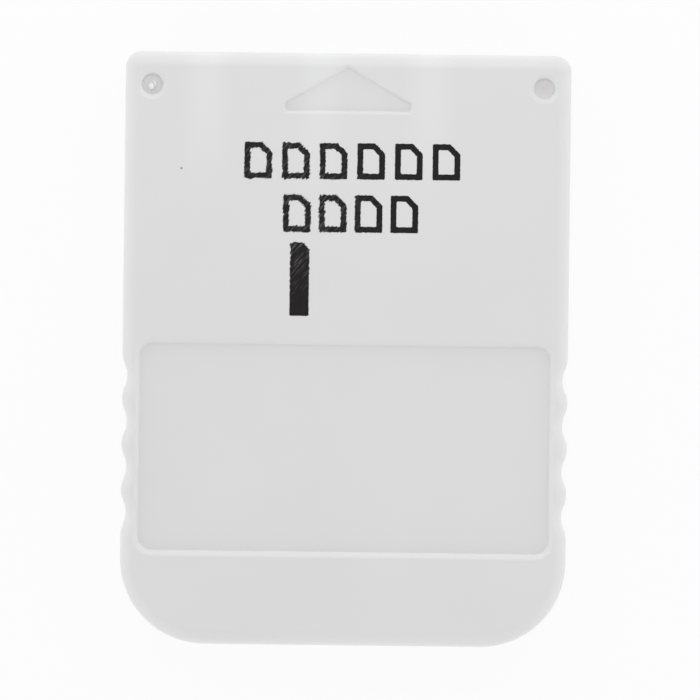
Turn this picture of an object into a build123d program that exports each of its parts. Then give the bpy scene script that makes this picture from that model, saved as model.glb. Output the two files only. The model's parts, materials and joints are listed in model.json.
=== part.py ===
from build123d import *

import os

# A game console's memory card: two moulded covers round a circuit board with its contacts and chips.
# The card lies on its back. X runs across it, +Y towards the connector end and +Z out of the front face.
# The origin is in the middle of the back face. Sizes are in millimetres and angles in degrees.

# Overall size
CARD_WIDTH = 42.0
CARD_LENGTH = 55.8
CARD_THICKNESS = 7.8
SEAM_HEIGHT = 4.5  # the plane where the covers meet, above the back face

# Outline seen from the front
NOSE_CORNER_RADIUS = 1.5  # corners of the connector end
GRIP_CORNER_RADIUS = 8.0  # corners of the end that is held
SCALLOP_COUNT = 4
SCALLOP_PITCH = 4.3
SCALLOP_DEPTH = 0.48
SCALLOP_INSET = 28.45  # from the connector end to the first scallop
FRONT_EDGE_RADIUS = 1.4
EDGE_MARGIN = 0.1  # by which the front edge's radius stays under the nose corners'
BACK_EDGE_BEVEL = 0.5
SEAM_BEVEL = 0.16  # shows the seam as a fine line

# Walls
SIDE_WALL = 1.8
NOSE_WALL = 1.5
FRONT_WALL = 1.5
BACK_WALL = 1.2
CAVITY_CORNER_RADIUS = 0.5

# Label recess on the front face
LABEL_SIDE_INSET = 1.45
LABEL_HEIGHT = 19.9
LABEL_INSET = 27.3  # from the connector end
LABEL_DEPTH = 0.45
LABEL_CORNER_RADIUS = 1.5
LABEL_RIM_RADIUS = 0.7

# Insertion arrow on the front face
ARROW_WIDTH = 12.05
ARROW_HEIGHT = 4.4
ARROW_SHOULDER = 0.9  # height of its blunt sides
ARROW_INSET = 1.2  # from the connector end to its tip
ARROW_DEPTH = 0.3
ARROW_CORNER_RADIUS = 0.35
ARROW_RIM_RADIUS = 0.4

RECESS_DRAFT = 28.0  # slope of the walls of both recesses
RIM_LEAD = 0.005  # height above the face at which a rim's radius would end

# Moulding gate dimples in the corners of the connector end
DIMPLE_DIAMETER = 2.05
DIMPLE_DEPTH = 0.45
DIMPLE_DRAFT = 18.0
DIMPLE_SIDE_INSET = 2.55
DIMPLE_NOSE_INSET = 3.15
DIMPLE_FLARE = 0.4  # width of the shallow flare round it
DIMPLE_FLARE_DEPTH = 0.14
GATE_STUB_DIAMETER = 0.6  # what the broken-off gate left in one dimple
GATE_STUB_HEIGHT = 0.25

# Lip and snap catches that hold the covers together
FIT_CLEARANCE = 0.1
LIP_THICKNESS = 0.6
LIP_HEIGHT = 0.8
CATCH_WIDTH = 2.4
CATCH_REACH = 0.25
CATCH_HEIGHT = 0.45
CATCH_NOSE = 0.15  # height of its blunt nose
CATCH_RISE = 0.2  # from the seam to the foot of the catch
SIDE_CATCH_INSET = 19.9  # from the connector end to the upper pair
END_CATCH_SPACING = 14.0  # between the two catches of the grip end

# Contacts and the bay that they lie in
CONTACT_COUNTS = (3, 3, 2)  # in each group
CONTACT_WIDTH = 2.3
CONTACT_LENGTH = 8.0
CONTACT_THICKNESS = 0.05
CONTACT_NOSE_GAP = 0.3  # from the board's front edge
CONTACT_SIDE_GAP = 1.2  # from the board's side edge to the first contact's share of the bay
DIVIDER_THICKNESS = 1.2
WINDOW_SILL = 2.0  # height of the windows' lower edge above the back face
WINDOW_CORNER_RADIUS = 0.35
BAY_DEPTH = 8.8
BAY_WALL = 1.0

# Circuit board and what locates it
BOARD_SIDE_GAP = 1.2  # from the board to the side walls
BOARD_LENGTH = 33.0
BOARD_THICKNESS = 1.2
BOARD_NOSE_GAP = 0.2  # from the board to the nose wall
POST_RADIUS = 1.0
POST_REACH = 1.0  # how far a post stands out below the board
POST_BEVEL = 0.25
POST_SHOULDER_RADIUS = 1.8
BOSS_RADIUS = 2.0
POST_SIDE_INSET = 2.6  # from the board's side edge
POST_BAY_GAP = 2.4  # from the bay wall
REST_WIDTH = 5.0  # of the two rests under the board's rear edge
REST_SPACING = 22.0
REST_DEPTH = 1.2
FENCE_THICKNESS = 0.9  # of the wall behind each rest that stops the board

# Chips, as (length, width) of the moulded body
CONTROLLER_BODY = (17.9, 7.5)
CONTROLLER_HEIGHT = 2.3
CONTROLLER_LEAD_COUNT = 28
CONTROLLER_SPAN = 10.3
CONTROLLER_PLACE = (0.0, 1.4)  # from the board's centre
MEMORY_BODY = (5.2, 5.3)
MEMORY_HEIGHT = 1.9
MEMORY_LEAD_COUNT = 8
MEMORY_SPAN = 7.9
MEMORY_PLACE = (-8.0, -9.4)
LEAD_PITCH = 1.27
LEAD_WIDTH = 0.42
LEAD_THICKNESS = 0.22
LEAD_FOOT = 0.7
CHIP_STANDOFF = 0.15
CHIP_DRAFT = 7.0
CHIP_BEVEL = 0.35  # along the edge that has the first lead

# Small parts, as (length, width, height)
RESONATOR_SIZE = (7.4, 3.4, 1.8)
RESONATOR_TERMINAL = 1.0
RESONATOR_TERMINAL_COUNT = 3
RESONATOR_PLACE = (2.6, -9.4)
RESERVOIR_SIZE = (3.5, 2.8, 1.9)
RESERVOIR_TERMINAL = 0.5
RESERVOIR_PLACE = (9.8, -9.4)
CHIP_PART_SIZE = (2.0, 1.25, 0.65)
CHIP_PART_TERMINAL = 0.4
CAPACITOR_COUNT = 4
RESISTOR_COUNT = 4
COLUMN_PITCH = 2.0  # of the capacitors on the left and the resistors on the right
COLUMN_CHIP_GAP = 0.9  # from the controller chip
COLUMN_BOSS_GAP = 0.4

# Places worked out from the sizes above
HALF_WIDTH = CARD_WIDTH / 2
NOSE_Y = CARD_LENGTH / 2
GRIP_Y = -CARD_LENGTH / 2
SCALLOP_Y = NOSE_Y - SCALLOP_INSET
SCALLOP_ROOM = SCALLOP_Y - GRIP_Y - GRIP_CORNER_RADIUS
SCALLOPS = min(SCALLOP_COUNT, int(SCALLOP_ROOM / SCALLOP_PITCH))  # as many as the straight side takes
CEILING_Z = CARD_THICKNESS - FRONT_WALL
CAVITY_HALF_WIDTH = HALF_WIDTH - SIDE_WALL
CAVITY_NOSE_Y = NOSE_Y - NOSE_WALL
CAVITY_GRIP_Y = GRIP_Y + SIDE_WALL
BAY_REAR_Y = CAVITY_NOSE_Y - BAY_DEPTH
LIP_STOP_Y = BAY_REAR_Y - BAY_WALL
BOARD_WIDTH = 2 * (CAVITY_HALF_WIDTH - BOARD_SIDE_GAP)
BAY_WIDTH = BOARD_WIDTH - 2 * CONTACT_SIDE_GAP
CONTACT_PITCH = (BAY_WIDTH - (len(CONTACT_COUNTS) - 1) * DIVIDER_THICKNESS) / sum(CONTACT_COUNTS)
BOARD_NOSE_Y = CAVITY_NOSE_Y - BOARD_NOSE_GAP
BOARD_Y = BOARD_NOSE_Y - BOARD_LENGTH / 2
BOARD_UNDERSIDE_Z = SEAM_HEIGHT
BOARD_TOP_Z = BOARD_UNDERSIDE_Z + BOARD_THICKNESS
BOARD_REAR_Y = BOARD_NOSE_Y - BOARD_LENGTH
POST_X = BOARD_WIDTH / 2 - POST_SIDE_INSET
POST_Y = LIP_STOP_Y - POST_BAY_GAP
POST_PLACES = [(-POST_X, POST_Y), (POST_X, POST_Y)]
COLUMN_X = (CONTROLLER_BODY[0] + CHIP_PART_SIZE[0]) / 2 + COLUMN_CHIP_GAP
COLUMN_Y = POST_Y - BOSS_RADIUS - COLUMN_BOSS_GAP - CHIP_PART_SIZE[1] / 2
REST_SPANS = [(x - REST_WIDTH / 2, x + REST_WIDTH / 2) for x in (-REST_SPACING / 2, REST_SPACING / 2)]


def scalloped_side(start):
    """The finger scallops down the right side: waves of arcs that meet in line, from crest to crest."""
    side = HALF_WIDTH
    arcs = []
    heading = Vector(0, -1)
    for number in range(SCALLOPS):
        crest = SCALLOP_Y - number * SCALLOP_PITCH
        for share, inset in ((1 / 4, SCALLOP_DEPTH / 2), (3 / 4, SCALLOP_DEPTH / 2), (1, 0)):
            end = Vector(side - inset, crest - share * SCALLOP_PITCH)
            arc = TangentArc(start, end, tangent=heading)
            arcs.append(arc)
            start, heading = arc @ 1, arc % 1
    return arcs


def card_outline():
    """The card's outline from the front: square nose, scalloped sides and a broad round grip end."""
    nose = Line((0, NOSE_Y), (HALF_WIDTH - NOSE_CORNER_RADIUS, NOSE_Y))
    nose_corner = TangentArc(nose @ 1, (HALF_WIDTH, NOSE_Y - NOSE_CORNER_RADIUS), tangent=nose % 1)
    upper_side = Line(nose_corner @ 1, (HALF_WIDTH, SCALLOP_Y))
    scallops = scalloped_side(upper_side @ 1)
    lower_side = Line(scallops[-1] @ 1, (HALF_WIDTH, GRIP_Y + GRIP_CORNER_RADIUS))
    grip_end = (HALF_WIDTH - GRIP_CORNER_RADIUS, GRIP_Y)
    grip_corner = TangentArc(lower_side @ 1, grip_end, tangent=lower_side % 1)
    grip = Line(grip_corner @ 1, (0, GRIP_Y))
    half = [nose, nose_corner, upper_side, *scallops, lower_side, grip_corner, grip]
    return make_face(half + [mirror(edge, Plane.YZ) for edge in half])


def cavity_outline(grow=0.0):
    """The hollow's outline: straight-sided, with the nose's small corners and the grip end's broad ones."""
    half_width = CAVITY_HALF_WIDTH + grow
    top = CAVITY_NOSE_Y + grow
    bottom = CAVITY_GRIP_Y - grow
    small = CAVITY_CORNER_RADIUS + grow
    broad = GRIP_CORNER_RADIUS - SIDE_WALL + grow
    nose = Line((0, top), (half_width - small, top))
    nose_corner = TangentArc(nose @ 1, (half_width, top - small), tangent=nose % 1)
    side = Line(nose_corner @ 1, (half_width, bottom + broad))
    grip_corner = TangentArc(side @ 1, (half_width - broad, bottom), tangent=side % 1)
    grip = Line(grip_corner @ 1, (0, bottom))
    half = [nose, nose_corner, side, grip_corner, grip]
    return make_face(half + [mirror(edge, Plane.YZ) for edge in half])


def box_between(low, high):
    """A block from its lowest corner to its highest."""
    low, high = Vector(low), Vector(high)
    size = high - low
    return Pos(low) * Box(size.X, size.Y, size.Z, align=(Align.MIN,) * 3)


def prism(outline, low, high):
    """An outline in the XY plane, made solid from one height to another."""
    return extrude(Pos(0, 0, low) * outline, high - low)


def rod(place, radius, low, high):
    """An upright round bar at a place in the XY plane."""
    length = high - low
    return Pos(*place, low) * Cylinder(radius, length, align=(Align.CENTER, Align.CENTER, Align.MIN))


def cover_blocks():
    """The solid card cut at its seam: (front half, back half), with the outer edges finished."""
    card = extrude(card_outline(), CARD_THICKNESS)
    edge_radius = min(FRONT_EDGE_RADIUS, NOSE_CORNER_RADIUS - EDGE_MARGIN)
    card = fillet(card.edges().group_by(Axis.Z)[-1], edge_radius)
    card = chamfer(card.edges().group_by(Axis.Z)[0], BACK_EDGE_BEVEL)
    halves = split(card, Plane.XY.offset(SEAM_HEIGHT), keep=Keep.BOTH).solids().sort_by(Axis.Z)
    back, front = (Part(half.wrapped) for half in halves)
    back = chamfer(back.edges().group_by(Axis.Z)[-1], SEAM_BEVEL)
    return front, back


def recess(outline, depth, rim_radius):
    """What a recess takes out of the front face: a flat floor, sloping walls and a rounded rim."""
    mouth = Pos(0, 0, CARD_THICKNESS + RIM_LEAD) * outline
    hollow = extrude(mouth, depth + RIM_LEAD, dir=(0, 0, -1), taper=RECESS_DRAFT)
    cutter = hollow + extrude(offset(mouth, 2 * rim_radius), rim_radius)
    brim = cutter.faces().filter_by(Plane.XY).group_by(Axis.Z)[1][0]
    return fillet(brim.inner_wires()[0].edges(), rim_radius)


def label_outline():
    """The label recess: a rounded rectangle between the scallops."""
    width = CARD_WIDTH - 2 * LABEL_SIDE_INSET
    middle = NOSE_Y - LABEL_INSET - LABEL_HEIGHT / 2
    return Pos(0, middle) * RectangleRounded(width, LABEL_HEIGHT, LABEL_CORNER_RADIUS)


def arrow_outline():
    """The insertion arrow: a low triangle with blunt sides, pointing at the connector end."""
    tip = NOSE_Y - ARROW_INSET
    base = tip - ARROW_HEIGHT
    half = ARROW_WIDTH / 2
    shoulder = base + ARROW_SHOULDER
    corners = [(-half, base), (half, base), (half, shoulder), (0, tip), (-half, shoulder)]
    arrow = make_face(Polyline(*corners, close=True))
    return fillet(arrow.vertices(), ARROW_CORNER_RADIUS)


def dimple_places():
    """The middles of the two gate dimples, left and right."""
    x = HALF_WIDTH - DIMPLE_SIDE_INSET
    y = NOSE_Y - DIMPLE_NOSE_INSET
    return [(-x, y), (x, y)]


def gate_dimple(place):
    """What a gate dimple takes out of the front face: a round pit with a shallow flare at its mouth."""
    radius = DIMPLE_DIAMETER / 2
    throat = Pos(*place, CARD_THICKNESS - DIMPLE_FLARE_DEPTH)
    depth = DIMPLE_DEPTH - DIMPLE_FLARE_DEPTH
    pit = extrude(throat * Circle(radius), depth, dir=(0, 0, -1), taper=DIMPLE_DRAFT)
    upright = (Align.CENTER, Align.CENTER, Align.MIN)
    return pit + throat * Cone(radius, radius + DIMPLE_FLARE, DIMPLE_FLARE_DEPTH, align=upright)


def gate_stub():
    """What the broken-off gate left on the floor of the left dimple."""
    floor = CARD_THICKNESS - DIMPLE_DEPTH
    return rod(dimple_places()[0], GATE_STUB_DIAMETER / 2, floor, floor + GATE_STUB_HEIGHT)


def group_spans():
    """The left and right end of each group of contacts, across the card."""
    spans = []
    left = -BAY_WIDTH / 2
    for count in CONTACT_COUNTS:
        right = left + count * CONTACT_PITCH
        spans.append((left, right))
        left = right + DIVIDER_THICKNESS
    return spans


def divider_ribs(low, high):
    """The ribs between the groups of contacts, which hold the board's tongue, between two heights."""
    ribs = []
    for span, following in zip(group_spans(), group_spans()[1:]):
        corner = (following[0], CAVITY_NOSE_Y, high)
        ribs.append(box_between((span[1], BAY_REAR_Y, low), corner))
    return ribs


def catch_places():
    """Where the snap catches sit on the lip: planes whose X axis points out of the card and Y axis up."""
    side = CAVITY_HALF_WIDTH + LIP_THICKNESS
    end = CAVITY_GRIP_Y - LIP_THICKNESS
    foot = SEAM_HEIGHT + CATCH_RISE
    upper = NOSE_Y - SIDE_CATCH_INSET
    crest = SCALLOP_Y - SCALLOP_PITCH * (SCALLOPS // 2)
    feet = [((x, y, foot), Vector(x, 0, 0)) for x in (-side, side) for y in (upper, crest)]
    feet += [((x, end, foot), Vector(0, end, 0)) for x in (-END_CATCH_SPACING / 2, END_CATCH_SPACING / 2)]
    return [Plane(place, x_dir=outward, z_dir=outward.cross(Vector(0, 0, 1))) for place, outward in feet]


def snap_catch(place):
    """The wedge of a snap catch, with its flat side down."""
    nose = (CATCH_REACH, CATCH_NOSE)
    wedge = make_face(Polyline((0, 0), (CATCH_REACH, 0), nose, (0, CATCH_HEIGHT), close=True))
    return extrude(place * wedge, CATCH_WIDTH / 2, both=True)


def catch_pocket(place):
    """The pocket that a snap catch clicks into, with room all round."""
    depth = CATCH_REACH + 2 * FIT_CLEARANCE
    height = CATCH_HEIGHT + 2 * FIT_CLEARANCE
    width = CATCH_WIDTH + 2 * FIT_CLEARANCE
    pocket = Box(depth, height, width, align=(Align.MIN, Align.MIN, Align.CENTER))
    return place * Pos(-FIT_CLEARANCE, -FIT_CLEARANCE, 0) * pocket


def lip_ring(low, high, slack):
    """The seam's lip round the sides and the grip end, or with slack the rebate that takes it."""
    ring = prism(cavity_outline(LIP_THICKNESS + slack), low, high) - prism(cavity_outline(), low, high)
    stop = LIP_STOP_Y + slack
    return ring - box_between((-HALF_WIDTH, stop, low), (HALF_WIDTH, NOSE_Y, high))


def front_cover(block):
    """The front shell: label recess, arrow and dimples outside, posts and ribs for the board inside."""
    cover = block - recess(label_outline(), LABEL_DEPTH, LABEL_RIM_RADIUS)
    cover = cover - recess(arrow_outline(), ARROW_DEPTH, ARROW_RIM_RADIUS)
    cover = cover - [gate_dimple(place) for place in dimple_places()]
    cover = cover + gate_stub()
    cover = cover - prism(cavity_outline(), SEAM_HEIGHT, CEILING_Z)
    rebate_top = SEAM_HEIGHT + LIP_HEIGHT + FIT_CLEARANCE
    cover = cover - lip_ring(SEAM_HEIGHT, rebate_top, FIT_CLEARANCE)
    cover = cover - [catch_pocket(place) for place in catch_places()]
    post_end = BOARD_UNDERSIDE_Z - POST_REACH
    for place in POST_PLACES:
        post = rod(place, POST_RADIUS, post_end, BOARD_TOP_Z)
        post = chamfer(post.edges().group_by(Axis.Z)[0], POST_BEVEL)
        cover = cover + post + rod(place, POST_SHOULDER_RADIUS, BOARD_TOP_Z, CEILING_Z)
    for left, right in REST_SPANS:
        far_corner = (right, BOARD_REAR_Y + REST_DEPTH, CEILING_Z)
        cover = cover + box_between((left, BOARD_REAR_Y, BOARD_TOP_Z), far_corner)
    return cover + divider_ribs(BOARD_TOP_Z, CEILING_Z)


def contact_windows():
    """The windows in the nose wall, open to the seam, one for each group of contacts."""
    windows = []
    for left, right in group_spans():
        size = (right - left, 2 * (SEAM_HEIGHT - WINDOW_SILL))
        opening = RectangleRounded(*size, WINDOW_CORNER_RADIUS)
        wall = Plane((0, CAVITY_NOSE_Y, 0), x_dir=(1, 0, 0), z_dir=(0, -1, 0))
        placed = wall * Pos((left + right) / 2, SEAM_HEIGHT) * opening
        windows.append(extrude(placed, NOSE_WALL, dir=(0, 1, 0)))
    return windows


def back_cover(block):
    """The back shell: windows and bay at the nose, bosses and rests for the board, lip and catches."""
    cover = block - prism(cavity_outline(), BACK_WALL, SEAM_HEIGHT)
    cover = cover - contact_windows()
    bay_half = BAY_WIDTH / 2 + BAY_WALL
    floor, seam = BACK_WALL, SEAM_HEIGHT
    cover = cover + box_between((-bay_half, LIP_STOP_Y, floor), (bay_half, BAY_REAR_Y, seam))
    for side in (-1, 1):
        inner, outer = sorted((side * BAY_WIDTH / 2, side * bay_half))
        cover = cover + box_between((inner, BAY_REAR_Y, floor), (outer, CAVITY_NOSE_Y, seam))
    cover = cover + divider_ribs(floor, seam)
    socket_floor = SEAM_HEIGHT - POST_REACH - FIT_CLEARANCE
    for place in POST_PLACES:
        socket = rod(place, POST_RADIUS + FIT_CLEARANCE, socket_floor, seam)
        cover = cover + (rod(place, BOSS_RADIUS, floor, seam) - socket)
    fence_y = BOARD_REAR_Y - FIT_CLEARANCE
    for left, right in REST_SPANS:
        rest = box_between((left, fence_y, floor), (right, BOARD_REAR_Y + REST_DEPTH, seam))
        fence = box_between((left, fence_y - FENCE_THICKNESS, floor), (right, fence_y, BOARD_TOP_Z))
        cover = cover + rest + fence
    cover = cover + lip_ring(seam, seam + LIP_HEIGHT, 0.0)
    return cover + [snap_catch(place) for place in catch_places()]


def circuit_board():
    """The board: a plain rectangle with a hole for each post."""
    outline = Pos(0, BOARD_Y) * Rectangle(BOARD_WIDTH, BOARD_LENGTH)
    for place in POST_PLACES:
        outline = outline - Pos(*place) * Circle(POST_RADIUS + FIT_CLEARANCE)
    return prism(outline, BOARD_UNDERSIDE_Z, BOARD_TOP_Z)


def contact_fingers():
    """The plated contacts on the underside of the board's tongue, from left to right."""
    middle_y = BOARD_NOSE_Y - CONTACT_NOSE_GAP - CONTACT_LENGTH / 2
    finger = Rectangle(CONTACT_WIDTH, CONTACT_LENGTH)
    low, high = BOARD_UNDERSIDE_Z - CONTACT_THICKNESS, BOARD_UNDERSIDE_Z
    fingers = []
    for (left, _), count in zip(group_spans(), CONTACT_COUNTS):
        for number in range(count):
            x = left + (number + 0.5) * CONTACT_PITCH
            fingers.append(prism(Pos(x, middle_y) * finger, low, high))
    return fingers


def on_board(shape, place):
    """A part drawn upright on z = 0, hung under the board at a place measured from the board's centre."""
    return Pos(place[0], BOARD_Y + place[1], BOARD_UNDERSIDE_Z) * Rot(X=180) * shape


def waist_heights(height):
    """The lower and upper height at which a chip's leads come out of its body."""
    low = (height + CHIP_STANDOFF - LEAD_THICKNESS) / 2
    return low, low + LEAD_THICKNESS


def chip_body(size, height):
    """A moulded chip body: two drafted halves about the lead frame, with a bevel beside the first lead."""
    waist_low, waist_high = waist_heights(height)
    waist = Rectangle(*size)
    body = prism(waist, waist_low, waist_high)
    body = body + extrude(Pos(0, 0, waist_high) * waist, height - waist_high, taper=CHIP_DRAFT)
    underside = Pos(0, 0, waist_low) * waist
    lower = extrude(underside, waist_low - CHIP_STANDOFF, dir=(0, 0, -1), taper=CHIP_DRAFT)
    body = body + lower
    return chamfer(body.edges().group_by(Axis.Z)[-1].sort_by(Axis.Y)[0], CHIP_BEVEL)


def gull_wing_lead(body_width, height, span):
    """One gull-wing lead in the YZ plane: out of the body's waist, down and flat along the board."""
    waist_low, waist_high = waist_heights(height)
    root, tip = body_width / 2, span / 2
    heel = tip - LEAD_FOOT
    knee = (root + heel) / 2
    profile = [
        (root, waist_low),
        (knee, waist_low),
        (heel, 0),
        (tip, 0),
        (tip, LEAD_THICKNESS),
        (heel + LEAD_THICKNESS, LEAD_THICKNESS),
        (knee + LEAD_THICKNESS, waist_high),
        (root, waist_high),
    ]
    section = Plane.YZ * make_face(Polyline(*profile, close=True))
    return extrude(section, LEAD_WIDTH / 2, both=True)


def chip_leads(body_width, height, span, count):
    """All the leads of a chip, in two rows."""
    per_side = count // 2
    lead = gull_wing_lead(body_width, height, span)
    leads = []
    for number in range(per_side):
        x = (number - (per_side - 1) / 2) * LEAD_PITCH
        leads.append(Pos(x, 0, 0) * lead)
        leads.append(Pos(x, 0, 0) * Rot(Z=180) * lead)
    return Compound(leads)


def end_terminals(size, terminal):
    """A small part's two metal ends."""
    length, width, height = size
    block = Box(terminal, width, height, align=(Align.MIN, Align.CENTER, Align.MIN))
    return Compound([Pos(-length / 2, 0, 0) * block, Pos(length / 2 - terminal, 0, 0) * block])


def end_capped_body(size, terminal):
    """The block between a small part's two metal ends."""
    length, width, height = size
    return prism(Rectangle(length - 2 * terminal, width), 0, height)


def resonator_body():
    """The ceramic resonator: a flat block that stands on its terminals."""
    length, width, height = RESONATOR_SIZE
    block = Rectangle(length, width)
    return prism(block, CHIP_STANDOFF, height)


def resonator_terminals():
    """The resonator's three plated feet, across its underside."""
    length, width, _ = RESONATOR_SIZE
    step = (length - RESONATOR_TERMINAL) / (RESONATOR_TERMINAL_COUNT - 1)
    foot = Box(RESONATOR_TERMINAL, width, CHIP_STANDOFF, align=(Align.MIN, Align.CENTER, Align.MIN))
    numbers = range(RESONATOR_TERMINAL_COUNT)
    return Compound([Pos(number * step - length / 2, 0, 0) * foot for number in numbers])


def chips():
    """The two chips: body and leads of each."""
    return {
        "controller_chip_body": on_board(chip_body(CONTROLLER_BODY, CONTROLLER_HEIGHT), CONTROLLER_PLACE),
        "controller_chip_leads": on_board(
            chip_leads(CONTROLLER_BODY[1], CONTROLLER_HEIGHT, CONTROLLER_SPAN, CONTROLLER_LEAD_COUNT),
            CONTROLLER_PLACE,
        ),
        "memory_chip_body": on_board(chip_body(MEMORY_BODY, MEMORY_HEIGHT), MEMORY_PLACE),
        "memory_chip_leads": on_board(
            chip_leads(MEMORY_BODY[1], MEMORY_HEIGHT, MEMORY_SPAN, MEMORY_LEAD_COUNT), MEMORY_PLACE
        ),
    }


def small_parts():
    """The resonator, the reservoir capacitor and the columns of chip capacitors and resistors."""
    nodes = {
        "resonator_body": on_board(resonator_body(), RESONATOR_PLACE),
        "resonator_terminals": on_board(resonator_terminals(), RESONATOR_PLACE),
        "reservoir_capacitor_body": on_board(
            end_capped_body(RESERVOIR_SIZE, RESERVOIR_TERMINAL), RESERVOIR_PLACE
        ),
        "reservoir_capacitor_terminals": on_board(
            end_terminals(RESERVOIR_SIZE, RESERVOIR_TERMINAL), RESERVOIR_PLACE
        ),
    }
    columns = (
        ("chip_capacitor", CAPACITOR_COUNT, CONTROLLER_PLACE[0] - COLUMN_X),
        ("chip_resistor", RESISTOR_COUNT, CONTROLLER_PLACE[0] + COLUMN_X),
    )
    for name, count, x in columns:
        for number in range(count):
            place = (x, COLUMN_Y - BOARD_Y - number * COLUMN_PITCH)
            body = end_capped_body(CHIP_PART_SIZE, CHIP_PART_TERMINAL)
            ends = end_terminals(CHIP_PART_SIZE, CHIP_PART_TERMINAL)
            nodes[f"{name}_{number + 1}_body"] = on_board(body, place)
            nodes[f"{name}_{number + 1}_terminals"] = on_board(ends, place)
    return nodes


def memory_card():
    """Every piece of the card, by name."""
    front_block, back_block = cover_blocks()
    nodes = {
        "front_cover": front_cover(front_block),
        "back_cover": back_cover(back_block),
        "circuit_board": circuit_board(),
    }
    for number, finger in enumerate(contact_fingers(), start=1):
        nodes[f"contact_finger_{number}"] = finger
    nodes.update(chips())
    nodes.update(small_parts())
    return nodes


os.makedirs("parts", exist_ok=True)
for name, shape in memory_card().items():
    export_step(shape, f"parts/{name}.step")
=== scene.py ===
"""Looks of a console's memory card: its covers, board, contacts and printed marks, in a white studio."""

import json
import logging
import math
from collections.abc import Mapping
from dataclasses import dataclass
from enum import Enum

import bmesh
import bpy
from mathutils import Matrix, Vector, noise


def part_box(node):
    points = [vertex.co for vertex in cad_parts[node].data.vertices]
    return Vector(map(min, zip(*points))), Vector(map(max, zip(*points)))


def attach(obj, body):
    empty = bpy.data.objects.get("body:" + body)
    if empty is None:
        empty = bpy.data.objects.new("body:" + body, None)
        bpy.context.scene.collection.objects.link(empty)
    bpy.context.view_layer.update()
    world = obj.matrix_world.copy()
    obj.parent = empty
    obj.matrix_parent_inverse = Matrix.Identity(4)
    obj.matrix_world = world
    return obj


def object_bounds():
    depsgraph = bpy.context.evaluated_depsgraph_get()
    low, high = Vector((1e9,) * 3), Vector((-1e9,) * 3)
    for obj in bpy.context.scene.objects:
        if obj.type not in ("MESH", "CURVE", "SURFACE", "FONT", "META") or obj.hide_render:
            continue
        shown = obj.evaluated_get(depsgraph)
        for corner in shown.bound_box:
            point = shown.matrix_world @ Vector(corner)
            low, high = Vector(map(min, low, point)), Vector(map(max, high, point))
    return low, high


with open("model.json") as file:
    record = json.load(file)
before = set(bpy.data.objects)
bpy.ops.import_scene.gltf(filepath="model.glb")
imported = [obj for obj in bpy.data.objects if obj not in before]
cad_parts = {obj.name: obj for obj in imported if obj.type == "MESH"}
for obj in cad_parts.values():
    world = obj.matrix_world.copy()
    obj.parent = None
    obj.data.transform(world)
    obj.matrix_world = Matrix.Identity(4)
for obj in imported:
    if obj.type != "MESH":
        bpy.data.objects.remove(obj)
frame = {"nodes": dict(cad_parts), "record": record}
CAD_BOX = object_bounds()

LOG = logging.getLogger("memory_card")
BODY = "root"
MM = 0.001  # metres in a millimetre
WHITE = (1.0, 1.0, 1.0, 1.0)

# Places of the sockets on a Mix node, which has some for colours and some for numbers
MIX_FACTOR, MIX_FIRST, MIX_SECOND, MIX_COLOUR = 0, 6, 7, 2
MIX_FIRST_NUMBER, MIX_SECOND_NUMBER = 2, 3

# The range that most values of a noise texture lie in, and the detail of soft and of grainy ones
NOISE_SPREAD = {"From Min": 0.3, "From Max": 0.7}
SOFT_DETAIL, GRAINY_DETAIL = 2.0, 4.0


class Slot(Enum):
    """The record's material slots."""

    SHELL = "shell_plastic"
    BOARD = "board_laminate"
    CONTACT = "contact_gold"
    CHIP = "chip_moulding"
    TIN = "tinned_metal"
    RESONATOR = "resonator_ceramic"
    RESERVOIR = "reservoir_moulding"
    CAPACITOR = "capacitor_ceramic"
    RESISTOR = "resistor_ceramic"
    INK = "print_ink"


def linear(hex_code: str) -> tuple[float, float, float, float]:
    """Turns an sRGB colour into linear light.

    Args:
        hex_code: six hex digits, two each for red, green and blue.

    Returns:
        The colour as linear red, green, blue and an alpha of 1.
    """
    shares = [int(hex_code[i : i + 2], 16) / 255 for i in (0, 2, 4)]
    return (*(s / 12.92 if s <= 0.04045 else ((s + 0.055) / 1.055) ** 2.4 for s in shares), 1.0)


def per_mm(size_mm: float) -> float:
    """Returns the texture scale, in metres, of a pattern whose features measure size_mm."""
    return 1.0 / (size_mm * MM)


def add_node(
    tree: bpy.types.NodeTree,
    kind: str,
    inputs: Mapping[str | int, object] | None = None,
    **settings: object,
) -> bpy.types.Node:
    """Adds a node with its settings and links.

    Args:
        tree: the shader or geometry tree that gets the node.
        kind: the node's type name.
        inputs: for each input, by its name or place, a value or the socket that feeds it.
        settings: the node's own properties.

    Returns:
        The new node.
    """
    node = tree.nodes.new(kind)
    for key, value in settings.items():
        setattr(node, key, value)
    for key, value in (inputs or {}).items():
        if isinstance(value, bpy.types.NodeSocket):
            tree.links.new(value, node.inputs[key])
        else:
            node.inputs[key].default_value = value
    return node


def fade_out(
    tree: bpy.types.NodeTree,
    place: bpy.types.NodeSocket,
    spot_mm: tuple[float, float, float],
    reach_mm: tuple[float, float],
    shares: tuple[float, float] = (1.0, 0.0),
) -> bpy.types.NodeSocket:
    """Lets a pattern fade with the distance from a spot.

    Args:
        tree: the tree that gets the nodes.
        place: the object's own coordinates, in metres.
        spot_mm: the middle of the spot.
        reach_mm: how far off the fading begins and ends.
        shares: how strong the pattern is before and after it.

    Returns:
        A socket with the strength.
    """
    away = add_node(
        tree, "ShaderNodeVectorMath", {0: place, 1: tuple(c * MM for c in spot_mm)}, operation="DISTANCE"
    )
    begin, end = (reach * MM for reach in reach_mm)
    most, least = shares
    return add_node(
        tree,
        "ShaderNodeMapRange",
        {
            "Value": away.outputs["Value"],
            "From Min": begin,
            "From Max": end,
            "To Min": most,
            "To Max": least,
        },
    ).outputs[0]


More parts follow.
